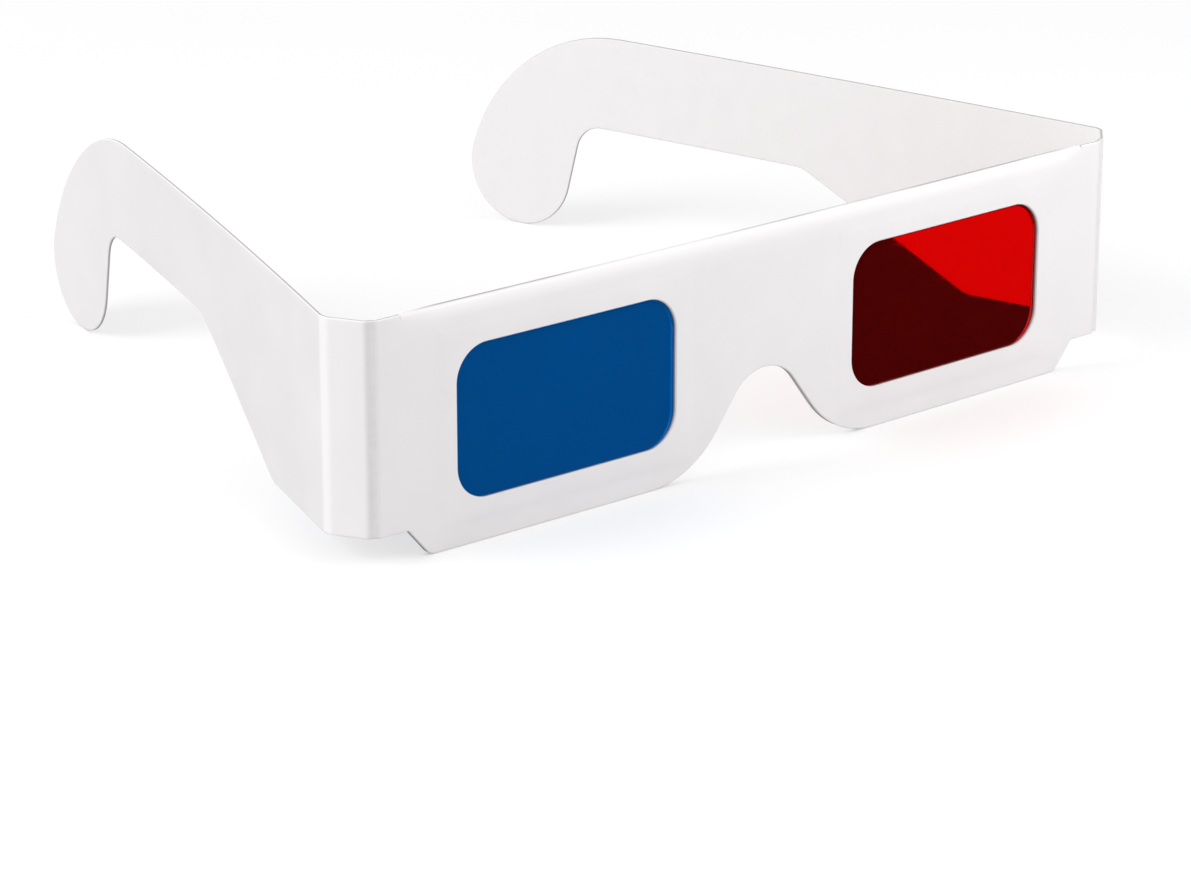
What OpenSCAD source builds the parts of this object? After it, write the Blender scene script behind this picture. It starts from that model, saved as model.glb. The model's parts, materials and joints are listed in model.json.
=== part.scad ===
// Folding card glasses with one red and one blue film.
// One die-cut board is folded along the top of the front, so that two plies hold the films.
// Each end has two upright creases: the front meets a corner strip, and the strip meets a temple.
// Left and right are the wearer's. +X is the wearer's left, +Y points to the wearer, +Z is up.
// The origin is the middle of the nose bridge, on the outer face of the front.

/* [Front] */
// Width of the front between its two inner creases
front_w = 149; // [142:0.5:160]
// Height of the front from its lower edge to the top fold
front_h = 37.3; // [34:0.1:44]
// Gap between the end of the back ply and the inner crease
flap_gap = 5; // [1:0.5:5.5]

/* [Windows] */
// Width of a window
window_w = 41.4; // [36:0.1:46]
// Height of a window
window_h = 23.7; // [18:0.1:25]
// Corner radius of a window
window_r = 5.5; // [2:0.1:8]
// Distance between the middles of the two windows
window_pitch = 78; // [72:0.5:84]
// Distance from the top fold to the upper edge of a window
window_top = 7; // [5:0.1:9]

/* [Nose cut-out] */
// Height of the cut-out at its middle
nose_h = 14.9; // [12:0.1:18]
// Slope of its sides from the level
nose_slope = 53; // [46:1:56]
// Radius at its top
nose_r = 7.4; // [5:0.1:8]
// Radius where its sides run into the lower edge
lobe_r = 16.5; // [8:0.5:18]

/* [Corners] */
// Width of a corner strip between its two creases
strip_w = 7.1; // [5:0.1:10]
// Height of a strip and of the temple's root
root_h = 32.7; // [29:0.1:34]
// Distance from the inner crease to the step in the lower edge
step_in = 5.8; // [4:0.1:8]
// Width that the step slants over
step_w = 3.9; // [1:0.1:6]
// Radius at the foot of the step
step_r = 2; // [0.5:0.1:3]

/* [Temples] */
// Length of a temple from its crease to its rearmost point
temple_l = 131; // [122:0.5:150]
// Height of the slim arm
arm_h = 16.85; // [14:0.05:20]
// Length of the full-height root
root_l = 25.3; // [18:0.1:32]
// How far the root's lower edge drops from the crease to the taper
root_drop = 0.6; // [0:0.1:1.5]
// Distance from the crease to the start of the slim arm
arm_from = 59.5; // [50:0.5:66]
// Radius of the bends at both ends of the taper
taper_r = 6; // [2:0.5:10]
// Radius of the round top of the hook
hook_r = 33; // [28:0.5:36]
// Radius of the hook's tip
tip_r = 10.6; // [8:0.1:12]
// Lean of the hook's inner edge towards the front
hook_lean = 14; // [0:1:18]
// Radius between the arm and the hook
hook_fillet = 5.5; // [2:0.5:8]

/* [Board and film] */
// Thickness of one ply of the board
board_t = 0.5; // [0.3:0.05:0.8]
// Thickness of the film
film_t = 0.15; // [0.1:0.01:0.3]
// How far the film reaches past its window
film_lap = 3; // [2:0.5:4]
// Least distance of the film from the cut edges of the board
film_edge = 1.6; // [1.4:0.1:2.5]
// Running gap around the round bead of a crease
crease_gap = 0.05; // [0.03:0.01:0.08]
// Distance that the glue stays inside the cut edges
glue_inset = 1; // [0.4:0.1:1.1]
// Gap between the glue and a film's edge
glue_gap = 0.2; // [0.1:0.05:0.25]

/* [Folds at rest] */
// Fold of the left strip behind the front
left_strip_fold = 44; // [0:0.5:90]
// Fold of the left temple behind its strip
left_temple_fold = 58.5; // [0:0.5:90]
// Fold of the right strip behind the front
right_strip_fold = 60; // [0:0.5:90]
// Fold of the right temple behind its strip
right_temple_fold = 47.5; // [0:0.5:86]

/* [Hidden] */
$fn = 64;
arc_steps = 12;

card_white = "#f3f3f5";
card_inside = "#e9e8ea";
film_red = "#c80a0a";
film_blue = "#004886";
glue_clear = "#e6e2d6";

// Levels above and below the middle of the bridge
base_z = -(nose_h + front_h) / 2;
top_z = base_z + front_h;
root_z = top_z - root_h;
arm_z = top_z - arm_h;
window_z = top_z - window_top - window_h / 2;

// The top fold wraps a half turn round the film's thickness
fold_r = board_t + film_t / 2;
fold_z = top_z - fold_r;
film_y = board_t;
back_y = board_t + film_t;
crease_x = front_w / 2;
flap_x = crease_x - flap_gap;

// The sharp corners that the nose cut-out's radii round off
nose_half_angle = 90 - nose_slope;
nose_apex = base_z + nose_h + nose_r * (1 / sin(nose_half_angle) - 1);
nose_foot = (nose_apex - base_z) * tan(nose_half_angle);

// The hook's round top touches its tip from inside
tip_c = [temple_l - tip_r, base_z + tip_r];
rear_dz = tip_c.y - (top_z - hook_r);
rear_c = tip_c - [sqrt(pow(hook_r - tip_r, 2) - pow(rear_dz, 2)), rear_dz];
meet_a = atan2(rear_dz, tip_c.x - rear_c.x);
tip_end_a = hook_lean - 180;
hook_foot = tip_c + tip_r * [cos(tip_end_a), sin(tip_end_a)];
hook_corner = [hook_foot.x - (arm_z - hook_foot.y) * tan(hook_lean), arm_z];

// Outlines in the plane of the board

function unit(v) = v / norm(v);

function arc(c, r, from, to) = [
    for (i = [0 : arc_steps])
        let (a = from + (to - from) * i / arc_steps)
        c + r * [cos(a), sin(a)]
];

// The arc that rounds corner b on the way from a to c
function rounded(a, b, c, r) =
    let (
        u = unit(a - b),
        v = unit(c - b),
        half = acos(u * v) / 2,
        centre = b + unit(u + v) * r / sin(half),
        start = b + u * r / tan(half) - centre,
        from = atan2(start.y, start.x),
        turn = (180 - 2 * half) * (cross(u, v) < 0 ? 1 : -1)
    )
    arc(centre, r, from, from + turn);

function flat(p) = [p.x, p.y];

// A closed path of [x, z, radius] corners
function path(corners) = [
    for (i = [0 : len(corners) - 1])
        let (
            n = len(corners),
            here = corners[i],
            before = flat(corners[(i + n - 1) % n]),
            after = flat(corners[(i + 1) % n])
        )
        each here[2] == 0 ? [flat(here)] : rounded(before, flat(here), after, here[2])
];

// The lower edge from the end at +X to the end at -X, with its steps and the nose cut-out
function lower_edge(end_x) =
    let (
        step_x = crease_x - step_in,
        half = [
            [end_x, root_z, 0],
            [step_x, root_z, 0],
            [step_x - step_w, base_z, step_r],
            [nose_foot, base_z, lobe_r]
        ]
    )
    concat(
        half,
        [[0, nose_apex, nose_r]],
        [for (i = [len(half) - 1 : -1 : 0]) [-half[i].x, half[i].y, half[i][2]]]
    );

module front_outline() {
    polygon(path(concat(
        lower_edge(crease_x),
        [[-crease_x, top_z, 0], [-flap_x, top_z, 0], [-flap_x, fold_z, 0]],
        [[flap_x, fold_z, 0], [flap_x, top_z, 0], [crease_x, top_z, 0]]
    )));
}

module flap_outline() {
    polygon(path(concat(lower_edge(flap_x), [[-flap_x, fold_z, 0], [flap_x, fold_z, 0]])));
}

module temple_outline() {
    arm_corner = [arm_from, arm_z];
    root_corner = [root_l, root_z - root_drop];
    polygon(concat(
        [[0, root_z], [0, top_z]],
        arc(rear_c, hook_r, 90, meet_a),
        arc(tip_c, tip_r, meet_a, tip_end_a),
        rounded(hook_foot, hook_corner, arm_corner, hook_fillet),
        rounded(hook_corner, arm_corner, root_corner, taper_r),
        rounded(arm_corner, root_corner, [0, root_z], taper_r)
    ));
}

module window(side) {
    w = window_w / 2;
    h = window_h / 2;
    translate([side * window_pitch / 2, window_z])
        polygon(path([[-w, -h, window_r], [w, -h, window_r], [w, h, window_r], [-w, h, window_r]]));
}

// A film laps its window and stays inside the board's cut edges
module film_outline(side, grow = 0) {
    intersection() {
        translate([side * window_pitch / 2, window_z])
            square([window_w, window_h] + 2 * (film_lap + grow) * [1, 1], center = true);
        inset_flap(film_edge - grow);
    }
}

module inset_flap(inset) {
    offset(delta = -inset)
        flap_outline();
}

// Stand an outline up as a sheet that starts at y and goes back by its thickness
module sheet(y, thickness) {
    translate([0, y + thickness, 0])
        rotate([90, 0, 0])
            linear_extrude(thickness)
                children();
}

// An upright cylinder, a strip high, about a crease
module crease_round(r) {
    translate([0, 0, root_z])
        cylinder(r = r, h = root_h);
}

// Place a piece behind its fold. A crease turns about the board's inner face.
module at_strip(side, strip_fold) {
    mirror([side < 0 ? 1 : 0, 0, 0])
        translate([crease_x, board_t, 0])
            rotate([0, 0, strip_fold])
                children();
}

module at_temple(side, strip_fold, temple_fold) {
    at_strip(side, strip_fold)
        translate([strip_w, 0, 0])
            rotate([0, 0, temple_fold])
                children();
}

// The outer ply, whose top rolls over to the back

module top_fold() {
    translate([-flap_x, fold_r, fold_z])
        rotate([0, 90, 0])
            difference() {
                cylinder(r = fold_r, h = 2 * flap_x);
                translate([0, 0, -flap_x])
                    cylinder(r = film_t / 2, h = 4 * flap_x);
                translate([0, -2 * fold_r, -flap_x])
                    cube([2 * fold_r, 4 * fold_r, 4 * flap_x]);
            }
}

module front_panel() {
    color(card_white) {
        difference() {
            sheet(0, board_t)
                difference() {
                    front_outline();
                    window(1);
                    window(-1);
                }
            for (side = [-1, 1])
                at_strip(side, 0)
                    crease_seat();
        }
        top_fold();
    }
}

// The hollow that a crease bead turns in
module crease_seat() {
    crease_round(board_t + crease_gap);
}

// The inner ply, glued behind the films

module back_panel() {
    color(card_inside)
        sheet(back_y, board_t)
            difference() {
                flap_outline();
                window(1);
                window(-1);
            }
}

module film(side) {
    sheet(film_y, film_t)
        film_outline(side);
}

module red_film() {
    color(film_red)
        film(1);
}

module blue_film() {
    color(film_blue)
        film(-1);
}

module panel_glue() {
    color(glue_clear)
        sheet(film_y, film_t)
            difference() {
                inset_flap(glue_inset);
                film_outline(1, glue_gap);
                film_outline(-1, glue_gap);
            }
}

// A corner strip with a round bead at both of its creases

module strip() {
    translate([0, -board_t, root_z])
        cube([strip_w, board_t, root_h]);
    crease_round(board_t);
    translate([strip_w, 0, 0])
        crease_round(board_t);
}

module left_strip() {
    color(card_white)
        at_strip(1, left_strip_fold)
            strip();
}

module right_strip() {
    color(card_white)
        at_strip(-1, right_strip_fold)
            strip();
}

// A temple, cut out at its root for the strip's bead

module temple() {
    difference() {
        sheet(-board_t, board_t)
            temple_outline();
        crease_seat();
    }
}

module left_temple() {
    color(card_white)
        at_temple(1, left_strip_fold, left_temple_fold)
            temple();
}

module right_temple() {
    color(card_white)
        at_temple(-1, right_strip_fold, right_temple_fold)
            temple();
}

front_panel();
back_panel();
red_film();
blue_film();
panel_glue();
left_strip();
right_strip();
left_temple();
right_temple();
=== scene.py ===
import json
import math

import bmesh
import bpy
from mathutils import Matrix, Vector
from mathutils.geometry import delaunay_2d_cdt
from mathutils.kdtree import KDTree


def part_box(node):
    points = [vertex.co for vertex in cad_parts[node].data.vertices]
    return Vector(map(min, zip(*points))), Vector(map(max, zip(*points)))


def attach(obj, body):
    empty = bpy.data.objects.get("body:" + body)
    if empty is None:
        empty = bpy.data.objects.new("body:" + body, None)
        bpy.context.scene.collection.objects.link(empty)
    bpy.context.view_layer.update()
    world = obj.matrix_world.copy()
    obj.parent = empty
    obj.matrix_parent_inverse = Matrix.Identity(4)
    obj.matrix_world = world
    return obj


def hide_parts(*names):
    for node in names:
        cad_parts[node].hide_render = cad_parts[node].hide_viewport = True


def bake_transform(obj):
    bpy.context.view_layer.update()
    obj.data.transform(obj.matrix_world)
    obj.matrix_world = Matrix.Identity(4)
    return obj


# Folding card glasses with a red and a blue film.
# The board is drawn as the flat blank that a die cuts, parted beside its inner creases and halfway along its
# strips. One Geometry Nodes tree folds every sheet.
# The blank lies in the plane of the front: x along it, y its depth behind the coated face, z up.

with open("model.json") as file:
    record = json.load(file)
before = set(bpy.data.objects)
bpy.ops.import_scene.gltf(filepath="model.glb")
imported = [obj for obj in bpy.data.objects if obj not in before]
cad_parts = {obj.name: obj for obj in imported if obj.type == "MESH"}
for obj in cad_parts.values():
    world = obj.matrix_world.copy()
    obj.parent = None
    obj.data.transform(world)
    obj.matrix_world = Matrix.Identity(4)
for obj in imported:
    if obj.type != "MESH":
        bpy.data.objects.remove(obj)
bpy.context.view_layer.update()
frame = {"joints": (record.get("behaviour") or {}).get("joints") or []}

MM = 0.001

# Sizes that the frame gives, in millimetres and degrees
joints = {joint["name"]: joint for joint in frame["joints"]}
front_low, front_high = (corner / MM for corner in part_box("front_panel"))
film_low, film_high = (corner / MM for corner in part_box("red_film"))
inner_axis = Vector(joints["left_inner_crease"]["pos_m"]) / MM
outer_axis = Vector(joints["left_outer_crease"]["pos_m"]) / MM
TOP = front_high.z
BASE = front_low.z
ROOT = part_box("left_strip")[0].z / MM
BOARD = film_low.y
FILM = film_high.y - film_low.y
CREASE = inner_axis.x
STRIP = (outer_axis - inner_axis).length
# A crease's lower limit is the flat blank, so it gives the fold at rest
FOLDS = {
    side: [-joints[f"{side}_{crease}_crease"]["range_deg"][0] for crease in ("inner", "outer")]
    for side in ("left", "right")
}

# Outline of the blank, in millimetres and degrees
FLAP_GAP, FLAP_CORNER_R = 5, 0.5
WINDOW_W, WINDOW_H, WINDOW_R = 41.4, 23.7, 5.5
WINDOW_PITCH, WINDOW_TOP = 78, 7
NOSE_H, NOSE_SLOPE, NOSE_R, LOBE_R = 14.9, 53, 7.4, 16.5
STEP_IN, STEP_W, STEP_R, STEP_TOP_R = 5.8, 3.9, 2, 0.6
TEMPLE_L, ROOT_L, ROOT_DROP = 131, 25.3, 0.6
ARM_FROM, ARM_H, TAPER_R = 59.5, 16.85, 6
HOOK_R, TIP_R, HOOK_LEAN, HOOK_FILLET = 33, 10.6, 14, 5.5
FILM_LAP, FILM_CORNER_R = 3, 2
GLUE_INSET, GLUE_GAP, GLUE_CORNER_R = 1, 0.2, 1.8

# How the board is worked, in millimetres
# A crease bends over its reach to either side, and its groove is pressed this deep
CREASE_REACH, INNER_PRESS, OUTER_PRESS = 1.1, 0.3, 0.06
# The share of a groove's depth at which the painted shade of an inner crease and the painted highlight of an
# outer one are full
PAINT_FULL_AT = 0.65
# The length of board in the top fold and the slit that frees its ends, the height of the painted highlight
# beside its crest and the width of the painted shade along it
WRAP_L, RELIEF = 1.1, 0.04
FOLD_HIGHLIGHT_H, CREST_SHADE_W = 1.9, 0.56
# The top edge leans back over this height, less and less towards the creases, and the front bows forward
LEAN_H, TOP_LEAN, LEAN_FADE = 2.5, 0.5, 8
FRONT_BOW = 0.8
# How far a temple's middle springs in, and the radius on which its hook curls in. Below zero is outwards
TEMPLE_ARCH = {"left": -0.86, "right": 1.06}
HOOK_CURL_R = {"left": 480, "right": -250}
HOOK_FROM = 95
# The flap's windows sit a little off the front's, so that its edge shows inside them
FLAP_OFF = Vector((-0.15, -0.35))
# A cut edge's rounding on the face and on the reverse, and the band of faces beside it
SHOULDER_R, HEEL_R, RIM_BAND = 0.16, 0.07, 0.4
FILM_EDGE_R, FILM_BAND = 0.03, 0.3
# The coated face swells over a film, and the swell fades over this width
FILM_SWELL, SWELL_W = 0.09, 0.9

# How finely the sheets are drawn, in millimetres and degrees
# Degrees in a step of an arc, and steps in the rounding of a cut edge
ARC_STEP, ROUND_STEPS = 5, 3
# Steps along an outline: plain ones, those in a crease and those in the top fold
COARSE, FINE, WRAP_STEP = 1.2, 0.17, 0.09
# Points inside a sheet stand on a grid and keep clear of its border
GRID, CLEAR = 2.4, 0.8
# Points nearer than this are one
SAME_PLACE = 1e-5
# An edge that turns by more than this stays sharp
SMOOTH_ANGLE = 50

# Camera, in millimetres and degrees
CAMERA_AT = (-410.14, -443.14, 188.79)
CAMERA_AZIMUTH, CAMERA_ELEVATION = -40.368, 19.417
CAMERA_LENS, CAMERA_SENSOR = 125.64, 36
CAMERA_NEAR = 10

# Light and floor, in metres and watts
# The world's strength above and below its horizon, and the heights between which it changes
ROOM_LIGHT, GROUND_LIGHT = 0.728, 0.02
HORIZON_LOW, HORIZON_HIGH = -0.12, -0.06
LAMPS = (
    # name, where it stands and its side in metres, power in watts
    ("front_softbox", (0.2, -1.0, 0.9), 1.4, 2.2),
    ("left_softbox", (-1.4, 0.4, 0.9), 1.0, 13.7),
    ("right_softbox", (0.17, -0.2, 0.1), 0.2, 0.25),
)
# The floor's side, and the glow by which the camera alone sees its paper lifted
FLOOR_SIZE, PAPER_LIFT = 12, 0.4

# Places on the blank that follow from the sizes, in millimetres
FLAP = CREASE - FLAP_GAP
ARM = TOP - ARM_H
TEMPLE_X = CREASE + STRIP
TEMPLE_END = TEMPLE_X + TEMPLE_L
WINDOW_Z = TOP - WINDOW_TOP - WINDOW_H / 2
WRAP_R = BOARD + FILM / 2
WRAP_Z = TOP - WRAP_R
# Where the blank is parted: short of the inner crease, halfway along the strip, and past the temple's end
FRONT_SEAM = CREASE - CREASE_REACH
STRIP_SEAM = CREASE + STRIP / 2
PAST_END = TEMPLE_END + GRID

# Sides of a sheet, as its faces are marked and as the folding tree names their materials
SIDES = ("Face", "Reverse", "Cut")
FACE, REVERSE, CUT = range(len(SIDES))

# Numbers of sockets whose names a node uses twice: on a colour mix, and on a comparison of whole numbers
SHARE, FIRST, SECOND, MIXED = 0, 6, 7, 2
COMPARE_A, COMPARE_B = 2, 3


def add(tree, kind, feeds=None, **settings):
    """Adds a node with its settings, feeds its inputs from sockets or values, and returns its outputs."""
    made = tree.nodes.new(kind)
    for name, value in settings.items():
        setattr(made, name, value)
    for key, value in (feeds or {}).items():
        if isinstance(value, bpy.types.NodeSocket):
            tree.links.new(value, made.inputs[key])
        else:
            made.inputs[key].default_value = value
    return made.outputs


def linear(hex_colour):
    """An sRGB hex colour as linear red, green, blue and alpha."""
    shares = [int(hex_colour[i:i + 2], 16) / 255 for i in (1, 3, 5)]
    return [s / 12.92 if s <= 0.04045 else ((s + 0.055) / 1.055) ** 2.4 for s in shares] + [1.0]


def per_metre(size_mm):
    """The scale of a pattern whose features are this many millimetres wide."""
    return 1 / (size_mm * MM)


# Materials


def new_tree(name):
    """A new material and its empty node tree."""
    material = bpy.data.materials.new(name)
    material.use_nodes = True
    material.node_tree.nodes.clear()
    return material, material.node_tree


def coated_card():
    """Clay-coated boxboard, calendered: an even white with a soft sheen, faintly mottled and cockled.

    Painted shade darkens the groove of an inner crease and greys the crest of the top fold, and a painted
    highlight lightens an outer crease and a band beside the top fold. The painted crease shade also roughens
    it."""
    material, tree = new_tree("coated_boxboard_calendered")
    place = add(tree, "ShaderNodeTexCoord")["Object"]
    mottle = add(tree, "ShaderNodeTexNoise", {"Vector": place, "Scale": per_metre(9), "Detail": 3.0})[0]
    white = add(tree, "ShaderNodeMix", {
        SHARE: mottle, FIRST: linear("#f2eff0"), SECOND: linear("#f7f4f5")}, data_type="RGBA")[MIXED]
    # Painted highlight: the colour is lighter over an outer crease and in a band beside the top fold
    painted_highlight = add(tree, "ShaderNodeAttribute", attribute_name="painted_highlight")["Fac"]
    bright = add(tree, "ShaderNodeMix", {
        SHARE: painted_highlight, FIRST: white, SECOND: linear("#faf7f8")}, data_type="RGBA")[MIXED]
    # Painted shade: the colour is greyer in the groove of an inner crease, and rougher there too
    crease = add(tree, "ShaderNodeAttribute", attribute_name="crease")["Fac"]
    # A noise about 1 mm across breaks up the painted shade in an inner crease
    crease_shade_breakup = add(tree, "ShaderNodeTexNoise", {"Vector": place, "Scale": per_metre(1), "Detail": 3.0})[0]
    painted_light_share = add(tree, "ShaderNodeMapRange", {
        "Value": crease_shade_breakup, "From Min": 0.3, "From Max": 0.7, "To Min": 0.7, "To Max": 1.0})[0]
    painted_crease_shade = add(tree, "ShaderNodeMath", {0: crease, 1: painted_light_share}, operation="MULTIPLY")[0]
    crease_shaded = add(tree, "ShaderNodeMix", {
        SHARE: painted_crease_shade, FIRST: bright, SECOND: linear("#e3e0e1")}, data_type="RGBA")[MIXED]
    # Painted shade: a grey line along the crest of the top fold, where its rear half turns from the light
    painted_crest_shade = add(tree, "ShaderNodeAttribute", attribute_name="painted_crest_shade")["Fac"]
    cockle = add(tree, "ShaderNodeTexNoise", {"Vector": place, "Scale": per_metre(22), "Detail": 1.0})[0]
    uneven = add(tree, "ShaderNodeMapRange", {
        "Value": cockle, "From Min": 0.4, "From Max": 0.6, "To Min": 0.3, "To Max": 1.0})[0]
    crest_shade_share = add(tree, "ShaderNodeMath", {0: painted_crest_shade, 1: uneven}, operation="MULTIPLY")[0]
    colour = add(tree, "ShaderNodeMix", {
        SHARE: crest_shade_share, FIRST: crease_shaded, SECOND: linear("#939091")}, data_type="RGBA")[MIXED]
    gloss = add(tree, "ShaderNodeMapRange", {"Value": mottle, "To Min": 0.36, "To Max": 0.5})[0]
    roughness = add(tree, "ShaderNodeMath", {0: painted_crease_shade, 1: 0.4, 2: gloss}, operation="MULTIPLY_ADD")[0]
    # The coating's tooth is about 0.05 mm, drawn at 0.3 mm so that it shows
    tooth = add(tree, "ShaderNodeTexNoise", {"Vector": place, "Scale": per_metre(0.3), "Detail": 2.0})[0]
    broad = add(tree, "ShaderNodeBump", {"Strength": 0.25, "Distance": 0.3 * MM, "Height": cockle})[0]
    fine = add(tree, "ShaderNodeBump", {
        "Strength": 0.12, "Distance": 0.02 * MM, "Height": tooth, "Normal": broad})[0]
    surface = add(tree, "ShaderNodeBsdfPrincipled", {
        "Base Color": colour, "Roughness": roughness, "IOR": 1.5, "Normal": fine})[0]
    add(tree, "ShaderNodeOutputMaterial", {"Surface": surface})
    return material


def card_reverse():
    """The board's uncoated reverse: matt, a little warmer, with short pale and grey fibres in the felt."""
    material, tree = new_tree("uncoated_boxboard_reverse")
    place = add(tree, "ShaderNodeTexCoord")["Object"]
    felt = add(tree, "ShaderNodeTexNoise", {"Vector": place, "Scale": per_metre(5), "Detail": 4.0})[0]
    pale = add(tree, "ShaderNodeMix", {
        SHARE: felt, FIRST: linear("#f2f0f0"), SECOND: linear("#f7f5f5")}, data_type="RGBA")[MIXED]
    # Fibres are about 0.03 mm wide, drawn at 0.3 mm and stretched along the temples so that they show
    grain = add(tree, "ShaderNodeMapping", {"Vector": place, "Scale": (1, 0.3, 1)})[0]
    fibres = add(tree, "ShaderNodeTexNoise", {
        "Vector": grain, "Scale": per_metre(0.3), "Detail": 3.0, "Distortion": 0.6})[0]
    flecks = add(tree, "ShaderNodeMapRange", {
        "Value": fibres, "From Min": 0.62, "From Max": 0.78, "To Min": 0.0, "To Max": 0.3})[0]
    colour = add(tree, "ShaderNodeMix", {
        SHARE: flecks, FIRST: pale, SECOND: linear("#dfdcda")}, data_type="RGBA")[MIXED]
    roughness = add(tree, "ShaderNodeMapRange", {"Value": fibres, "To Min": 0.62, "To Max": 0.8})[0]
    relief = add(tree, "ShaderNodeBump", {"Strength": 0.3, "Distance": 0.03 * MM, "Height": fibres})[0]
    surface = add(tree, "ShaderNodeBsdfPrincipled", {
        "Base Color": colour, "Roughness": roughness, "IOR": 1.5, "Normal": relief})[0]
    add(tree, "ShaderNodeOutputMaterial", {"Surface": surface})
    return material


def card_cut():
    """The board's die-cut edge: raw pulp, matt and greyer than the faces. The grey is partly the pulp's own
    tone and partly painted shade, darkened all over for the shade on edges that face down and away from the
    light."""
    material, tree = new_tree("boxboard_core_die_cut")
    place = add(tree, "ShaderNodeTexCoord")["Object"]
    # Layers and torn fibres are about 0.05 mm, drawn at 0.25 mm so that they show
    pulp = add(tree, "ShaderNodeTexNoise", {
        "Vector": place, "Scale": per_metre(0.25), "Detail": 4.0, "Roughness": 0.65})[0]
    # Partly painted shade: the pulp is greyer than its own tone, for the shade on down-facing edges
    pulp_tone_and_shade = add(tree, "ShaderNodeMix", {
        SHARE: pulp, FIRST: linear("#a3a1a0"), SECOND: linear("#cdcbca")}, data_type="RGBA")[MIXED]
    drift = add(tree, "ShaderNodeTexNoise", {"Vector": place, "Scale": per_metre(3), "Detail": 2.0})[0]
    colour = add(tree, "ShaderNodeMix", {
        SHARE: drift, FIRST: pulp_tone_and_shade, SECOND: linear("#b8b6b5")}, data_type="RGBA")[MIXED]
    roughness = add(tree, "ShaderNodeMapRange", {"Value": pulp, "To Min": 0.75, "To Max": 0.95})[0]
    relief = add(tree, "ShaderNodeBump", {"Strength": 0.6, "Distance": 0.05 * MM, "Height": pulp})[0]
    surface = add(tree, "ShaderNodeBsdfPrincipled", {
        "Base Color": colour, "Roughness": roughness, "IOR": 1.5, "Normal": relief})[0]
    add(tree, "ShaderNodeOutputMaterial", {"Surface": surface})
    return material


def dyed_film(name, thin_dye, deep_dye, clearness):
    """Cast acetate film, dyed through: smooth, clear and deep in colour, with slow ripples and rub marks."""
    material, tree = new_tree(name)
    place = add(tree, "ShaderNodeTexCoord")["Object"]
    dye = add(tree, "ShaderNodeTexNoise", {"Vector": place, "Scale": per_metre(16), "Detail": 2.0})[0]
    colour = add(tree, "ShaderNodeMix", {
        SHARE: dye, FIRST: linear(deep_dye), SECOND: linear(thin_dye)}, data_type="RGBA")[MIXED]
    # Rub marks are some 0.02 mm wide, drawn at 0.5 mm so that they show. They run long and aslant
    slant, along = 0.5, 0.12
    lie = add(tree, "ShaderNodeMapping", {
        "Vector": place, "Rotation": (0, slant, 0), "Scale": (along, 1, 1)})[0]
    rubs = add(tree, "ShaderNodeTexNoise", {"Vector": lie, "Scale": per_metre(0.5), "Detail": 2.0})[0]
    roughness = add(tree, "ShaderNodeMapRange", {
        "Value": rubs, "From Min": 0.55, "From Max": 0.8, "To Min": 0.04, "To Max": 0.12})[0]
    ripple = add(tree, "ShaderNodeTexNoise", {"Vector": place, "Scale": per_metre(18), "Detail": 0.0})[0]
    relief = add(tree, "ShaderNodeBump", {"Strength": 0.15, "Distance": 0.4 * MM, "Height": ripple})[0]
    surface = add(tree, "ShaderNodeBsdfPrincipled", {
        "Base Color": colour, "Roughness": roughness, "IOR": 1.48, "Specular IOR Level": 0.3,
        "Transmission Weight": clearness, "Normal": relief})[0]
    add(tree, "ShaderNodeOutputMaterial", {"Surface": surface})
    return material


def dried_glue():
    """White wood glue, rolled on and dried: a thin yellowish skin, patchy where the roller left it thick."""
    material, tree = new_tree("white_glue_dried")
    place = add(tree, "ShaderNodeTexCoord")["Object"]
    patches = add(tree, "ShaderNodeTexNoise", {"Vector": place, "Scale": per_metre(4), "Detail": 3.0})[0]
    colour = add(tree, "ShaderNodeMix", {
        SHARE: patches, FIRST: linear("#d8d0b8"), SECOND: linear("#eee9dc")}, data_type="RGBA")[MIXED]
    roughness = add(tree, "ShaderNodeMapRange", {"Value": patches, "To Min": 0.35, "To Max": 0.6})[0]
    surface = add(tree, "ShaderNodeBsdfPrincipled", {"Base Color": colour, "Roughness": roughness})[0]
    add(tree, "ShaderNodeOutputMaterial", {"Surface": surface})
    return material


def sweep_paper():
    """Seamless background paper, rolled: plain matt pale grey with a very faint cloud.

    The camera alone sees it lifted to white, so that it keeps the shadow and throws little light up at the
    board's lower edges."""
    material, tree = new_tree("background_paper_matt")
    place = add(tree, "ShaderNodeTexCoord")["Object"]
    cloud = add(tree, "ShaderNodeTexNoise", {"Vector": place, "Scale": per_metre(120), "Detail": 2.0})[0]
    colour = add(tree, "ShaderNodeMix", {
        SHARE: cloud, FIRST: linear("#c8c8c8"), SECOND: linear("#cbcbcb")}, data_type="RGBA")[MIXED]
    seen = add(tree, "ShaderNodeLightPath")["Is Camera Ray"]
    lift = add(tree, "ShaderNodeMath", {0: seen, 1: PAPER_LIFT}, operation="MULTIPLY")[0]
    surface = add(tree, "ShaderNodeBsdfPrincipled", {
        "Base Color": colour, "Roughness": 0.9, "Specular IOR Level": 0.1,
        "Emission Color": linear("#ffffff"), "Emission Strength": lift})[0]
    add(tree, "ShaderNodeOutputMaterial", {"Surface": surface})
    return material


# Outlines of the blank


def arc(centre, radius, start, end):
    """Points on an arc between two angles."""
    steps = max(2, math.ceil(abs(end - start) / ARC_STEP))
    angles = [math.radians(start + (end - start) * i / steps) for i in range(steps + 1)]
    return [Vector((centre[0] + radius * math.cos(a), centre[1] + radius * math.sin(a))) for a in angles]


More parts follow.
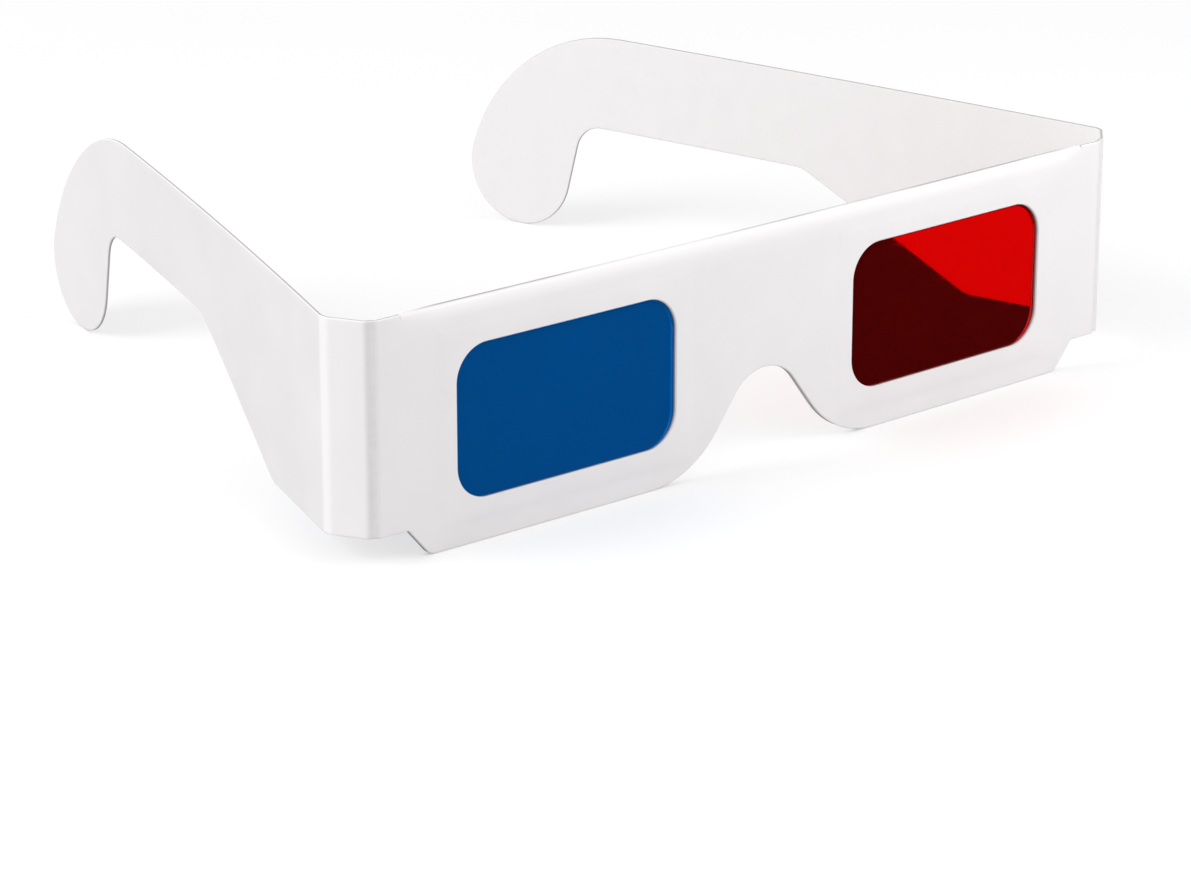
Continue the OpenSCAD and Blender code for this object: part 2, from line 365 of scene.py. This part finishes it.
def path(corners):
    """A closed line through (x, z, radius) corners, each rounded by its radius."""
    line = []
    for i, (x, z, radius) in enumerate(corners):
        here = Vector((x, z))
        back = (Vector(corners[i - 1][:2]) - here).normalized()
        on = (Vector(corners[(i + 1) % len(corners)][:2]) - here).normalized()
        if radius == 0:
            line.append(here)
            continue
        half = back.angle(on) / 2
        centre = here + (back + on).normalized() * radius / math.sin(half)
        first = here + back * radius / math.tan(half) - centre
        start = math.degrees(math.atan2(first.y, first.x))
        turn = (180 - 2 * math.degrees(half)) * (1 if back.cross(on) < 0 else -1)
        line += arc(centre, radius, start, start + turn)
    return line


def rectangle(x, z, width, height, radius):
    """Corners of a rectangle round a point, clockwise as a hole runs."""
    w, h = width / 2, height / 2
    return [(x + i * w, z + j * h, radius) for i, j in ((-1, -1), (-1, 1), (1, 1), (1, -1))]


def mirrored(half, low, *high):
    """A closed path from half its corners and the one or two that lie on its middle line."""
    return path([low, *half, *high, *((-x, z, r) for x, z, r in reversed(half))])


def behind(z):
    """Where the flap's height z behind the front lies on the flat blank, past the top fold."""
    return 2 * WRAP_Z + WRAP_L - z


def nose_apex():
    """Height of the sharp corner that the nose cut-out's top radius rounds off."""
    return BASE + NOSE_H + NOSE_R * (1 / math.cos(math.radians(NOSE_SLOPE)) - 1)


def lower_corners(level=lambda z: z):
    """Corners of half the front's lower edge, from the nose outwards, at the heights that level gives."""
    foot = (nose_apex() - BASE) / math.tan(math.radians(NOSE_SLOPE))
    step = CREASE - STEP_IN
    return [
        (foot, level(BASE), LOBE_R),
        (step - STEP_W, level(BASE), STEP_R),
        (step, level(ROOT), STEP_TOP_R),
    ]


def temple_corners():
    """Corners of a temple, from its root along the lower edge, round the hook and back along the top."""
    tip = Vector((TEMPLE_L - TIP_R, BASE + TIP_R))
    rise = tip.y - (TOP - HOOK_R)
    rear = tip - Vector((math.sqrt((HOOK_R - TIP_R) ** 2 - rise ** 2), rise))
    meet = math.degrees(math.atan2(rise, tip.x - rear.x))
    foot = arc(tip, TIP_R, HOOK_LEAN - 180, meet)
    corner = foot[0].x - (ARM - foot[0].y) * math.tan(math.radians(HOOK_LEAN))
    hook = foot + arc(rear, HOOK_R, meet, 90)[1:]
    line = [
        (0, ROOT, 0),
        (ROOT_L, ROOT - ROOT_DROP, TAPER_R),
        (ARM_FROM, ARM, TAPER_R),
        (corner, ARM, HOOK_FILLET),
    ]
    return [(TEMPLE_X + x, z, r) for x, z, r in line + [(p.x, p.y, 0) for p in hook]]


def blank_outline():
    """The whole cut-out board: front, strips and temples, with the flap above the top fold."""
    relief = [(FLAP + RELIEF, TOP, 0), (FLAP + RELIEF, WRAP_Z - RELIEF, 0), (FLAP, WRAP_Z - RELIEF, 0)]
    flap = [(FLAP, behind(ROOT), FLAP_CORNER_R), *reversed(lower_corners(behind))]
    half = [*lower_corners(), *temple_corners(), *relief, *flap]
    return mirrored(half, (0, nose_apex(), NOSE_R), (0, behind(nose_apex()), NOSE_R))


def glue_outline():
    """The glue's edge, a little inside the outline of the flap where it lies behind the front."""
    lobe, foot, step = lower_corners()
    end = ROOT + (FLAP - step[0]) * (ROOT - BASE) / STEP_W
    half = [lobe, foot, (FLAP, end, GLUE_CORNER_R), (FLAP, WRAP_Z, GLUE_CORNER_R)]
    return inset(mirrored(half, (0, nose_apex(), NOSE_R)), GLUE_INSET)


def windows(grow=0, radius=WINDOW_R):
    """The two windows of the front, or the films' outlines round them."""
    return [
        path(rectangle(side * WINDOW_PITCH / 2, WINDOW_Z, WINDOW_W + 2 * grow, WINDOW_H + 2 * grow, radius))
        for side in (-1, 1)
    ]


def step_at(low, high):
    """How finely a stretch of outline is drawn: closely in the creases and in the top fold."""
    for crease in (CREASE, TEMPLE_X):
        for middle in (-crease, crease):
            if low.x < middle + CREASE_REACH and high.x > middle - CREASE_REACH:
                return FINE
    if low.y < WRAP_Z + WRAP_L and high.y > WRAP_Z and low.x < FLAP + RELIEF and high.x > -FLAP - RELIEF:
        return WRAP_STEP
    return COARSE


def divided(line):
    """A closed line with its long stretches divided."""
    points = []
    for here, there in zip(line, line[1:] + line[:1]):
        stretches = [(here, there)]
        while stretches:
            a, b = stretches.pop()
            low = Vector(map(min, a, b))
            high = Vector(map(max, a, b))
            if (b - a).length > step_at(low, high):
                middle = (a + b) / 2
                stretches += [(middle, b), (a, middle)]
            else:
                points.append(a)
    return points


def inset(line, distance):
    """A closed line moved into the board, which lies on its left."""
    moved = []
    for i, here in enumerate(line):
        into = []
        for a, b in ((line[i - 1], here), (here, line[(i + 1) % len(line)])):
            run = (b - a).normalized()
            into.append(Vector((-run.y, run.x)))
        mean = into[0] + into[1]
        moved.append(here + mean * distance / (1 + into[0].dot(into[1])))
    return moved


# Flat sheets


def rim(thickness, shoulder, heel, band):
    """(inset, depth) of the rings from the face round the cut edge to the reverse: the die rounds the face's
    side over and leaves the other side sharper."""
    turns = [math.pi / 2 * i / ROUND_STEPS for i in range(ROUND_STEPS + 1)]
    face = [(shoulder * (1 - math.sin(a)), shoulder * (1 - math.cos(a))) for a in turns]
    back = [(heel * (1 - math.sin(a)), thickness - heel * (1 - math.cos(a))) for a in reversed(turns)]
    return [(band, 0), *face, *back, (band, thickness)]


def levels(low, high, step, close=()):
    """Evenly spaced values from low to high, and closer ones in each given (low, high, step)."""
    count = math.ceil((high - low) / step)
    rows = [low + (high - low) * i / count for i in range(count + 1)]
    rows = [r for r in rows if not any(a - step / 2 < r < b + step / 2 for a, b, _ in close)]
    for a, b, fine in close:
        count = math.ceil((b - a) / fine)
        rows += [a + (b - a) * i / count for i in range(count + 1)]
    return sorted(rows)


def sheet(name, loops, columns, rows, depth, rings, extra=(), lift=lambda x, z: 0):
    """A flat closed sheet inside its first loop and outside the others, whose face starts at depth."""
    def at(point, down):
        """A point of the sheet this far below its face, which alone is lifted."""
        raised = lift(point.x, point.y) if down == 0 else 0
        return point.x, depth + down - raised, point.y

    # The rings of the cut edge, from the face to the reverse. The coating goes over the face's shoulder
    loops = [divided(loop) for loop in loops]
    places, faces, sides, starts = [], [], [], []
    for inwards, down in rings:
        starts.append([])
        for loop in loops:
            starts[-1].append(len(places))
            places += [at(p, down) for p in inset(loop, inwards)]
    for k in range(len(rings) - 1):
        side = FACE if k <= ROUND_STEPS else REVERSE if k == len(rings) - 2 else CUT
        for loop, a, b in zip(loops, starts[k], starts[k + 1]):
            for i in range(len(loop)):
                j = (i + 1) % len(loop)
                faces.append((a + i, b + i, b + j, a + j))
                sides.append(side)

    # Points inside the face's innermost rings
    border = [p for loop in loops for p in inset(loop, rings[0][0])]
    near = KDTree(len(border))
    for i, p in enumerate(border):
        near.insert(p.to_3d(), i)
    near.balance()
    wanted = [Vector((x, z)) for x in columns for z in rows] + list(extra)
    inner = [p for p in wanted if near.find(p.to_3d())[2] > CLEAR]

    # The triangulation wants every loop counter-clockwise, and holes run the other way
    bounds = []
    for loop in loops:
        first = sum(len(b) for b in bounds)
        bounds.append(list(range(first, first + len(loop))))
    turned = bounds[:1] + [b[::-1] for b in bounds[1:]]
    _, _, triangles, origins, _, within = delaunay_2d_cdt(border + inner, [], turned, 0, SAME_PLACE)
    inside = [[origins[v][0] for v in t] for t, found in zip(triangles, within) if list(found) == [0]]

    # The same triangles fill the face and, turned over, the reverse
    used = sorted({v for triangle in inside for v in triangle if v >= len(border)})
    for ring, side in ((0, FACE), (-1, REVERSE)):
        index = {}
        for start, bound in zip(starts[ring], bounds):
            index.update(zip(bound, range(start, start + len(bound))))
        index.update(zip(used, range(len(places), len(places) + len(used))))
        places += [at(inner[v - len(border)], rings[ring][1]) for v in used]
        for triangle in inside:
            corners = [index[v] for v in triangle]
            faces.append(corners if side == FACE else corners[::-1])
            sides.append(side)

    mesh = bpy.data.meshes.new(name)
    mesh.from_pydata([Vector(p) * MM for p in places], [], faces)
    marks = mesh.attributes.new("side", "INT", "FACE")
    marks.data.foreach_set("value", sides)
    return mesh


def film_swell(x, z):
    """How far the film between the plies lifts the coated face, in the front and in the flap."""
    z = behind(z) if z > WRAP_Z else z
    past = max(abs(abs(x) - WINDOW_PITCH / 2) - WINDOW_W / 2, abs(z - WINDOW_Z) - WINDOW_H / 2)
    share = min(max((FILM_LAP + SWELL_W / 2 - past) / SWELL_W, 0), 1)
    return FILM_SWELL * share * share * (3 - 2 * share)


def blank():
    """The flat board, cut out and drawn closely where it will bend."""
    holes = windows()
    for hole in windows():
        moved = [p + FLAP_OFF for p in reversed(hole)]
        holes.append([Vector((p.x, behind(p.y))) for p in moved])
    swells = []
    for grow in (FILM_LAP - SWELL_W / 2, FILM_LAP, FILM_LAP + SWELL_W / 2):
        for line in windows(grow, FILM_CORNER_R):
            for p in divided(line):
                swells += [p, Vector((p.x, behind(p.y)))]
    creases = [
        (middle - CREASE_REACH, middle + CREASE_REACH, FINE)
        for middle in (-TEMPLE_X, -CREASE, CREASE, TEMPLE_X)
    ]
    columns = levels(-TEMPLE_END, TEMPLE_END, GRID, creases)
    rows = levels(BASE, behind(BASE), GRID, [(WRAP_Z, WRAP_Z + WRAP_L, WRAP_STEP)])
    rings = rim(BOARD, SHOULDER_R, HEEL_R, RIM_BAND)
    return sheet("blank", [blank_outline(), *holes], columns, rows, 0, rings, swells, film_swell)


def parted(whole, low, high):
    """The stretch of a flat sheet between two places, closed where it was parted."""
    form = bmesh.new()
    form.from_mesh(whole)
    mark = form.faces.layers.int["side"]
    for place, direction in ((low, -1), (high, 1)):
        everything = form.verts[:] + form.edges[:] + form.faces[:]
        bmesh.ops.bisect_plane(
            form, geom=everything, dist=SAME_PLACE * MM, clear_outer=True,
            plane_co=(place * MM, 0, 0), plane_no=(direction, 0, 0),
        )
        open_edges = [e for e in form.edges if e.is_boundary]
        for face in bmesh.ops.holes_fill(form, edges=open_edges, sides=0)["faces"]:
            face[mark] = CUT
    mesh = bpy.data.meshes.new("part")
    form.to_mesh(mesh)
    form.free()
    return mesh


# Folding

# What the folding tree is given, in metres and radians. Each temple has its own folds, arch and curl
FOLD_SIZES = {
    "Inner Crease": CREASE * MM,
    "Outer Crease": TEMPLE_X * MM,
    "Temple End": TEMPLE_END * MM,
    "Crease Reach": CREASE_REACH * MM,
    "Inner Press": INNER_PRESS * MM,
    "Outer Press": OUTER_PRESS * MM,
    "Board": BOARD * MM,
    "Temple Arch": 0.0,
    "Hook Start": (TEMPLE_X + HOOK_FROM) * MM,
    "Hook Curl": 0.0,
    "Inner Fold": math.radians(FOLDS["left"][0]),
    "Outer Fold": math.radians(FOLDS["left"][1]),
    "Flap End": (FLAP + RELIEF / 2) * MM,
    "Wrap Start": WRAP_Z * MM,
    "Wrap Length": WRAP_L * MM,
    "Wrap Depth": WRAP_R * MM,
    "Lean Start": (TOP - LEAN_H) * MM,
    "Top": TOP * MM,
    "Top Lean": TOP_LEAN * MM,
    "Lean Fade": LEAN_FADE * MM,
    "Fold Highlight Height": FOLD_HIGHLIGHT_H * MM,
    "Crest Shade Width": CREST_SHADE_W * MM,
    "Front Bow": FRONT_BOW * MM,
}


def bend_group():
    """Wraps what lies from Start to End round an axis at Depth, and swings what lies past End by Angle."""
    tree = bpy.data.node_groups.new("bend_round_axis", "GeometryNodeTree")
    for name in ("Place", "Along", "Axis"):
        tree.interface.new_socket(name, in_out="INPUT", socket_type="NodeSocketVector")
    for name in ("Start", "End", "Depth", "Angle", "Share"):
        tree.interface.new_socket(name, in_out="INPUT", socket_type="NodeSocketFloat")
    tree.interface.new_socket("Place", in_out="OUTPUT", socket_type="NodeSocketVector")
    given = add(tree, "NodeGroupInput")
    reach = add(tree, "ShaderNodeVectorMath", {0: given["Place"], 1: given["Along"]},
                operation="DOT_PRODUCT")["Value"]
    turned = add(tree, "ShaderNodeMapRange", {
        "Value": reach, "From Min": given["Start"], "From Max": given["End"],
        "To Min": 0.0, "To Max": given["Share"]})[0]
    length = add(tree, "ShaderNodeMath", {0: given["End"], 1: given["Start"]}, operation="SUBTRACT")[0]
    wrapped = add(tree, "ShaderNodeMath", {0: turned, 1: length}, operation="MULTIPLY")[0]
    angle = add(tree, "ShaderNodeMath", {0: turned, 1: given["Angle"]}, operation="MULTIPLY")[0]
    taken = add(tree, "ShaderNodeVectorMath", {0: given["Along"], "Scale": wrapped}, operation="SCALE")[0]
    drawn = add(tree, "ShaderNodeVectorMath", {0: given["Place"], 1: taken}, operation="SUBTRACT")[0]
    start = add(tree, "ShaderNodeVectorMath", {0: given["Along"], "Scale": given["Start"]},
                operation="SCALE")[0]
    down = add(tree, "ShaderNodeCombineXYZ", {"Y": given["Depth"]})[0]
    centre = add(tree, "ShaderNodeVectorMath", {0: start, 1: down}, operation="ADD")[0]
    bent = add(tree, "ShaderNodeVectorRotate", {
        "Vector": drawn, "Center": centre, "Axis": given["Axis"], "Angle": angle})[0]
    add(tree, "NodeGroupOutput", {"Place": bent})
    return tree


def sprung(tree, given, out, depth):
    """The depth of a temple that springs into a shallow arch from its crease to its end, its hook curled."""
    run = add(tree, "ShaderNodeMapRange", {
        "Value": out, "From Min": given["Outer Crease"], "From Max": given["Temple End"]})[0]
    rest = add(tree, "ShaderNodeMath", {0: 1.0, 1: run}, operation="SUBTRACT")[0]
    arch = add(tree, "ShaderNodeMath", {0: run, 1: rest}, operation="MULTIPLY")[0]
    arched = add(tree, "ShaderNodeMath", {0: arch, 1: given["Temple Arch"], 2: depth},
                 operation="MULTIPLY_ADD")[0]
    past = add(tree, "ShaderNodeMath", {0: out, 1: given["Hook Start"]}, operation="SUBTRACT")[0]
    past = add(tree, "ShaderNodeMath", {0: past, 1: 0.0}, operation="MAXIMUM")[0]
    curl = add(tree, "ShaderNodeMath", {0: past, 1: past}, operation="MULTIPLY")[0]
    return add(tree, "ShaderNodeMath", {0: curl, 1: given["Hook Curl"], 2: arched},
               operation="MULTIPLY_ADD")[0]


def pressed(tree, given, out, depth, crease):
    """The depth with a crease pressed in, a groove in the face and a bead on the reverse, and the share of
    painted light on it: painted shade in an inner crease, a painted highlight over an outer one.
    """
    off = add(tree, "ShaderNodeMath", {0: out, 1: given[crease + " Crease"]}, operation="SUBTRACT")[0]
    off = add(tree, "ShaderNodeMath", {0: off}, operation="ABSOLUTE")[0]
    share = add(tree, "ShaderNodeMapRange", {
        "Value": off, "From Min": 0.0, "From Max": given["Crease Reach"], "To Min": 1.0, "To Max": 0.0},
        interpolation_type="SMOOTHSTEP")[0]
    depth = add(tree, "ShaderNodeMath", {0: share, 1: given[crease + " Press"], 2: depth},
                operation="MULTIPLY_ADD")[0]
    crease_paint_share = add(tree, "ShaderNodeMapRange", {"Value": share, "From Min": 0.0, "From Max": PAINT_FULL_AT})[0]
    return depth, crease_paint_share


def top_fold_painted_light(tree, given, out, height, fade_from):
    """How far painted shade lies along the top fold's crest and a painted highlight beside it, short of its
    ends.
    """
    half_wrap = add(tree, "ShaderNodeMath", {0: given["Wrap Length"], 1: 0.5}, operation="MULTIPLY")[0]
    crest = add(tree, "ShaderNodeMath", {0: given["Wrap Start"], 1: half_wrap}, operation="ADD")[0]
    off = add(tree, "ShaderNodeMath", {0: height, 1: crest}, operation="SUBTRACT")[0]
    off = add(tree, "ShaderNodeMath", {0: off}, operation="ABSOLUTE")[0]
    inside = add(tree, "ShaderNodeMapRange", {
        "Value": out, "From Min": fade_from, "From Max": given["Flap End"], "To Min": 1.0, "To Max": 0.0},
        interpolation_type="SMOOTHSTEP")[0]
    crest_shade_end = add(tree, "ShaderNodeMath", {0: given["Crest Shade Width"], 1: 0.5}, operation="MULTIPLY")[0]
    painted_crest_shade = add(tree, "ShaderNodeMapRange", {
        "Value": off, "From Min": 0.0, "From Max": crest_shade_end, "To Min": inside, "To Max": 0.0},
        interpolation_type="SMOOTHSTEP")[0]
    fold_highlight_end = add(tree, "ShaderNodeMath", {0: half_wrap, 1: given["Fold Highlight Height"]}, operation="ADD")[0]
    fold_highlight = add(tree, "ShaderNodeMapRange", {
        "Value": off, "From Min": half_wrap, "From Max": fold_highlight_end, "To Min": inside, "To Max": 0.0},
        interpolation_type="SMOOTHSTEP")[0]
    return painted_crest_shade, fold_highlight


def bent_round(tree, given, out, place):
    """The place after the folds at the outer and the inner crease and the flap's half turn over the top."""
    bend = bend_group()
    for crease in ("Outer", "Inner"):
        middle, fold = given[crease + " Crease"], given[crease + " Fold"]
        half_fold = add(tree, "ShaderNodeMath", {0: fold, 1: 0.5}, operation="MULTIPLY")[0]
        slope = add(tree, "ShaderNodeMath", {0: half_fold}, operation="TANGENT")[0]
        radius = add(tree, "ShaderNodeMath", {0: given["Crease Reach"], 1: slope}, operation="DIVIDE")[0]
        start = add(tree, "ShaderNodeMath", {0: middle, 1: given["Crease Reach"]}, operation="SUBTRACT")[0]
        end = add(tree, "ShaderNodeMath", {0: middle, 1: given["Crease Reach"]}, operation="ADD")[0]
        centre = add(tree, "ShaderNodeMath", {0: given["Board"], 1: radius}, operation="ADD")[0]
        place = add(tree, "GeometryNodeGroup", {
            "Place": place, "Along": (1, 0, 0), "Axis": (0, 0, 1), "Start": start, "End": end,
            "Depth": centre, "Angle": fold, "Share": 1.0}, node_tree=bend)[0]
    flap = add(tree, "ShaderNodeMath", {0: out, 1: given["Flap End"]}, operation="LESS_THAN")[0]
    wrap_end = add(tree, "ShaderNodeMath", {0: given["Wrap Start"], 1: given["Wrap Length"]},
                   operation="ADD")[0]
    return add(tree, "GeometryNodeGroup", {
        "Place": place, "Along": (0, 0, 1), "Axis": (-1, 0, 0), "Start": given["Wrap Start"],
        "End": wrap_end, "Depth": given["Wrap Depth"], "Angle": math.pi, "Share": flap}, node_tree=bend)[0]


def leaned(tree, given, out, place, fade_from):
    """How far the top edge leans back, less the bow of the whole front between its creases."""
    height = add(tree, "ShaderNodeSeparateXYZ", {0: place})["Z"]
    up = add(tree, "ShaderNodeMapRange", {
        "Value": height, "From Min": given["Lean Start"], "From Max": given["Top"]})[0]
    curled = add(tree, "ShaderNodeMath", {0: up, 1: 2.0}, operation="POWER")[0]
    kept = add(tree, "ShaderNodeMapRange", {
        "Value": out, "From Min": fade_from, "From Max": given["Inner Crease"],
        "To Min": given["Top Lean"], "To Max": 0.0}, interpolation_type="SMOOTHSTEP")[0]
    lean = add(tree, "ShaderNodeMath", {0: curled, 1: kept}, operation="MULTIPLY")[0]
    across = add(tree, "ShaderNodeMath", {0: out, 1: given["Inner Crease"]}, operation="DIVIDE")[0]
    square = add(tree, "ShaderNodeMath", {0: across, 1: 2.0}, operation="POWER")[0]
    middle = add(tree, "ShaderNodeMath", {0: 1.0, 1: square}, operation="SUBTRACT", use_clamp=True)[0]
    bow = add(tree, "ShaderNodeMath", {0: middle, 1: given["Front Bow"]}, operation="MULTIPLY")[0]
    return add(tree, "ShaderNodeMath", {0: lean, 1: bow}, operation="SUBTRACT")[0]


def fold_tree():
    """Presses the creases into a flat sheet, springs it, and folds it at its creases and its top."""
    tree = bpy.data.node_groups.new("press_and_fold", "GeometryNodeTree")
    tree.interface.new_socket("Geometry", in_out="INPUT", socket_type="NodeSocketGeometry")
    for name in FOLD_SIZES:
        tree.interface.new_socket(name, in_out="INPUT", socket_type="NodeSocketFloat")
    for name in SIDES:
        tree.interface.new_socket(name, in_out="INPUT", socket_type="NodeSocketMaterial")
    tree.interface.new_socket("Geometry", in_out="OUTPUT", socket_type="NodeSocketGeometry")
    given = add(tree, "NodeGroupInput")
    flat = add(tree, "ShaderNodeSeparateXYZ", {0: add(tree, "GeometryNodeInputPosition")[0]})
    out = add(tree, "ShaderNodeMath", {0: flat["X"]}, operation="ABSOLUTE")[0]
    fade_from = add(tree, "ShaderNodeMath", {0: given["Flap End"], 1: given["Lean Fade"]},
                    operation="SUBTRACT")[0]

    # Painted shade lies in an inner crease and along the top fold's crest, and a painted highlight over an
    # outer crease and beside the top fold
    depth = sprung(tree, given, out, flat["Y"])
    depth, painted_crease_shade = pressed(tree, given, out, depth, "Inner")
    depth, painted_highlight = pressed(tree, given, out, depth, "Outer")
    painted_crest_shade, fold_highlight = top_fold_painted_light(tree, given, out, flat["Z"], fade_from)
    painted_highlight = add(tree, "ShaderNodeMath", {0: painted_highlight, 1: fold_highlight}, operation="MAXIMUM")[0]
    made = given["Geometry"]
    for name, painted_light_share in (("painted_crest_shade", painted_crest_shade), ("crease", painted_crease_shade), ("painted_highlight", painted_highlight)):
        made = add(tree, "GeometryNodeStoreNamedAttribute", {
            "Geometry": made, "Name": name, "Value": painted_light_share}, data_type="FLOAT", domain="POINT")[0]

    place = add(tree, "ShaderNodeCombineXYZ", {"X": flat["X"], "Y": depth, "Z": flat["Z"]})[0]
    place = bent_round(tree, given, out, place)
    offset = add(tree, "ShaderNodeCombineXYZ", {"Y": leaned(tree, given, out, place, fade_from)})[0]
    made = add(tree, "GeometryNodeSetPosition", {"Geometry": made, "Position": place, "Offset": offset})[0]
    made = add(tree, "GeometryNodeRealizeInstances", {0: made})[0]
    side = add(tree, "GeometryNodeInputNamedAttribute", {"Name": "side"}, data_type="INT")[0]
    for number, name in enumerate(SIDES):
        chosen = add(tree, "FunctionNodeCompare", {COMPARE_A: side, COMPARE_B: number}, data_type="INT",
                     operation="EQUAL")[0]
        made = add(tree, "GeometryNodeSetMaterial", {
            "Geometry": made, "Selection": chosen, "Material": given[name]})[0]
    add(tree, "NodeGroupOutput", {0: made})
    return tree


def folded(name, flat, tree, materials, sizes=FOLD_SIZES, mirror=False):
    """A piece made by folding a flat sheet, at its place in the frame."""
    flat.materials.append(materials[0])
    piece = bpy.data.objects.new(name, flat)
    bpy.context.scene.collection.objects.link(piece)
    modifier = piece.modifiers.new("fold", "NODES")
    modifier.node_group = tree
    values = {**sizes, **dict(zip(SIDES, materials))}
    for socket in tree.interface.items_tree:
        if socket.in_out == "INPUT" and socket.name in values:
            modifier[socket.identifier] = values[socket.name]
    result = piece.evaluated_get(bpy.context.evaluated_depsgraph_get())
    mesh = bpy.data.meshes.new_from_object(result)
    piece.modifiers.clear()
    piece.data = mesh
    bpy.data.meshes.remove(flat)
    if mirror:
        mesh.transform(Matrix.Scale(-1, 4, (1, 0, 0)))
        mesh.flip_normals()
    mesh.attributes.remove(mesh.attributes["side"])
    mesh.shade_smooth()
    mesh.set_sharp_from_angle(angle=math.radians(SMOOTH_ANGLE))
    return piece


# Camera, light and floor


def photograph_camera():
    """A camera at the photograph's viewing angle."""
    data = bpy.data.cameras.new("camera")
    data.lens = CAMERA_LENS
    data.sensor_width = CAMERA_SENSOR
    data.sensor_fit = "HORIZONTAL"
    data.clip_start = CAMERA_NEAR * MM
    camera = bpy.data.objects.new("camera", data)
    bpy.context.scene.collection.objects.link(camera)
    camera.location = Vector(CAMERA_AT) * MM
    azimuth, elevation = math.radians(CAMERA_AZIMUTH), math.radians(CAMERA_ELEVATION)
    back = Vector((
        math.sin(azimuth) * math.cos(elevation), -math.cos(azimuth) * math.cos(elevation),
        math.sin(elevation),
    ))
    camera.rotation_mode = "QUATERNION"
    camera.rotation_quaternion = (-back).to_track_quat("-Z", "Y")
    bpy.context.scene.camera = camera


def soft_light():
    """A bright even room above a dark ground, and three softboxes turned to the object."""
    world = bpy.data.worlds.new("studio")
    bpy.context.scene.world = world
    world.use_nodes = True
    tree = world.node_tree
    tree.nodes.clear()
    way = add(tree, "ShaderNodeTexCoord")["Generated"]
    height = add(tree, "ShaderNodeSeparateXYZ", {0: way})["Z"]
    strength = add(tree, "ShaderNodeMapRange", {
        "Value": height, "From Min": HORIZON_LOW, "From Max": HORIZON_HIGH,
        "To Min": GROUND_LIGHT, "To Max": ROOM_LIGHT})[0]
    sky = add(tree, "ShaderNodeBackground", {"Color": linear("#ffffff"), "Strength": strength})[0]
    add(tree, "ShaderNodeOutputWorld", {"Surface": sky})
    for name, at, side, power in LAMPS:
        data = bpy.data.lights.new(name, "AREA")
        data.size = side
        data.energy = power
        lamp = bpy.data.objects.new(name, data)
        bpy.context.scene.collection.objects.link(lamp)
        lamp.location = at
        lamp.rotation_mode = "QUATERNION"
        lamp.rotation_quaternion = (-Vector(at)).to_track_quat("-Z", "Y")


def paper_floor():
    """The pale floor that the glasses stand on. The films look past it into the dark, as photographed."""
    half = FLOOR_SIZE / 2
    corners = [(x * half, y * half, BASE * MM) for x, y in ((-1, -1), (1, -1), (1, 1), (-1, 1))]
    mesh = bpy.data.meshes.new("floor")
    mesh.from_pydata(corners, [], [(0, 1, 2, 3)])
    mesh.materials.append(sweep_paper())
    floor = bpy.data.objects.new("floor", mesh)
    floor.visible_transmission = False
    floor.visible_glossy = False
    bpy.context.scene.collection.objects.link(floor)


bpy.context.scene.view_settings.view_transform = "Standard"
photograph_camera()
soft_light()
paper_floor()

# The pieces

card = (coated_card(), card_reverse(), card_cut())
folding = fold_tree()
board = blank()

front = folded("front_board", parted(board, -FRONT_SEAM, FRONT_SEAM), folding, card)
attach(front, "front")
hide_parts("front_panel", "back_panel")

for side, sign in (("left", 1), ("right", -1)):
    first, second = (math.radians(fold) for fold in FOLDS[side])
    sizes = {
        **FOLD_SIZES,
        "Inner Fold": first,
        "Outer Fold": second,
        # The tree's arch is a quarter high at its middle, and its curl is a parabola
        "Temple Arch": 4 * TEMPLE_ARCH[side] * MM,
        "Hook Curl": 1 / (2 * HOOK_CURL_R[side] * MM),
    }
    for part, low, high, bodies, crease, turns in (
        ("corner", FRONT_SEAM, STRIP_SEAM, ("front", f"{side}_strip"), "inner", (0, first)),
        ("temple_board", STRIP_SEAM, PAST_END, (f"{side}_strip", f"{side}_temple"), "outer",
         (first, first + second)),
    ):
        flat = parted(board, low, high)
        piece = folded(f"{side}_{part}", flat, folding, card, sizes, mirror=sign < 0)
        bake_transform(piece)
        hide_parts(bodies[1])

films = {
    "blue_film": dyed_film(
        "blue_acetate_film_dyed", thin_dye="#0093f8", deep_dye="#008ced", clearness=0.78),
    "red_film": dyed_film(
        "red_acetate_film_dyed", thin_dye="#f80000", deep_dye="#ee0000", clearness=0.96),
}
thin_rim = rim(FILM, FILM_EDGE_R, FILM_EDGE_R, FILM_BAND)
for (name, dyed), hole in zip(films.items(), windows(FILM_LAP, FILM_CORNER_R)):
    low, high = (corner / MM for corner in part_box(name))
    columns, rows = levels(low.x, high.x, GRID), levels(low.z, high.z, GRID)
    flat = sheet(name + "_sheet", [hole[::-1]], columns, rows, BOARD, thin_rim)
    film = folded(name + "_sheet", flat, folding, [dyed] * len(SIDES))
    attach(film, "front")
    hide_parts(name)

glue_loops = [glue_outline(), *windows(FILM_LAP + GLUE_GAP, FILM_CORNER_R)]
columns, rows = levels(-FLAP, FLAP, GRID), levels(BASE, WRAP_Z, GRID)
flat = sheet("glue_layer", glue_loops, columns, rows, BOARD, thin_rim)
glue = folded("glue_layer", flat, folding, [dried_glue()] * len(SIDES))
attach(glue, "front")
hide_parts("panel_glue")
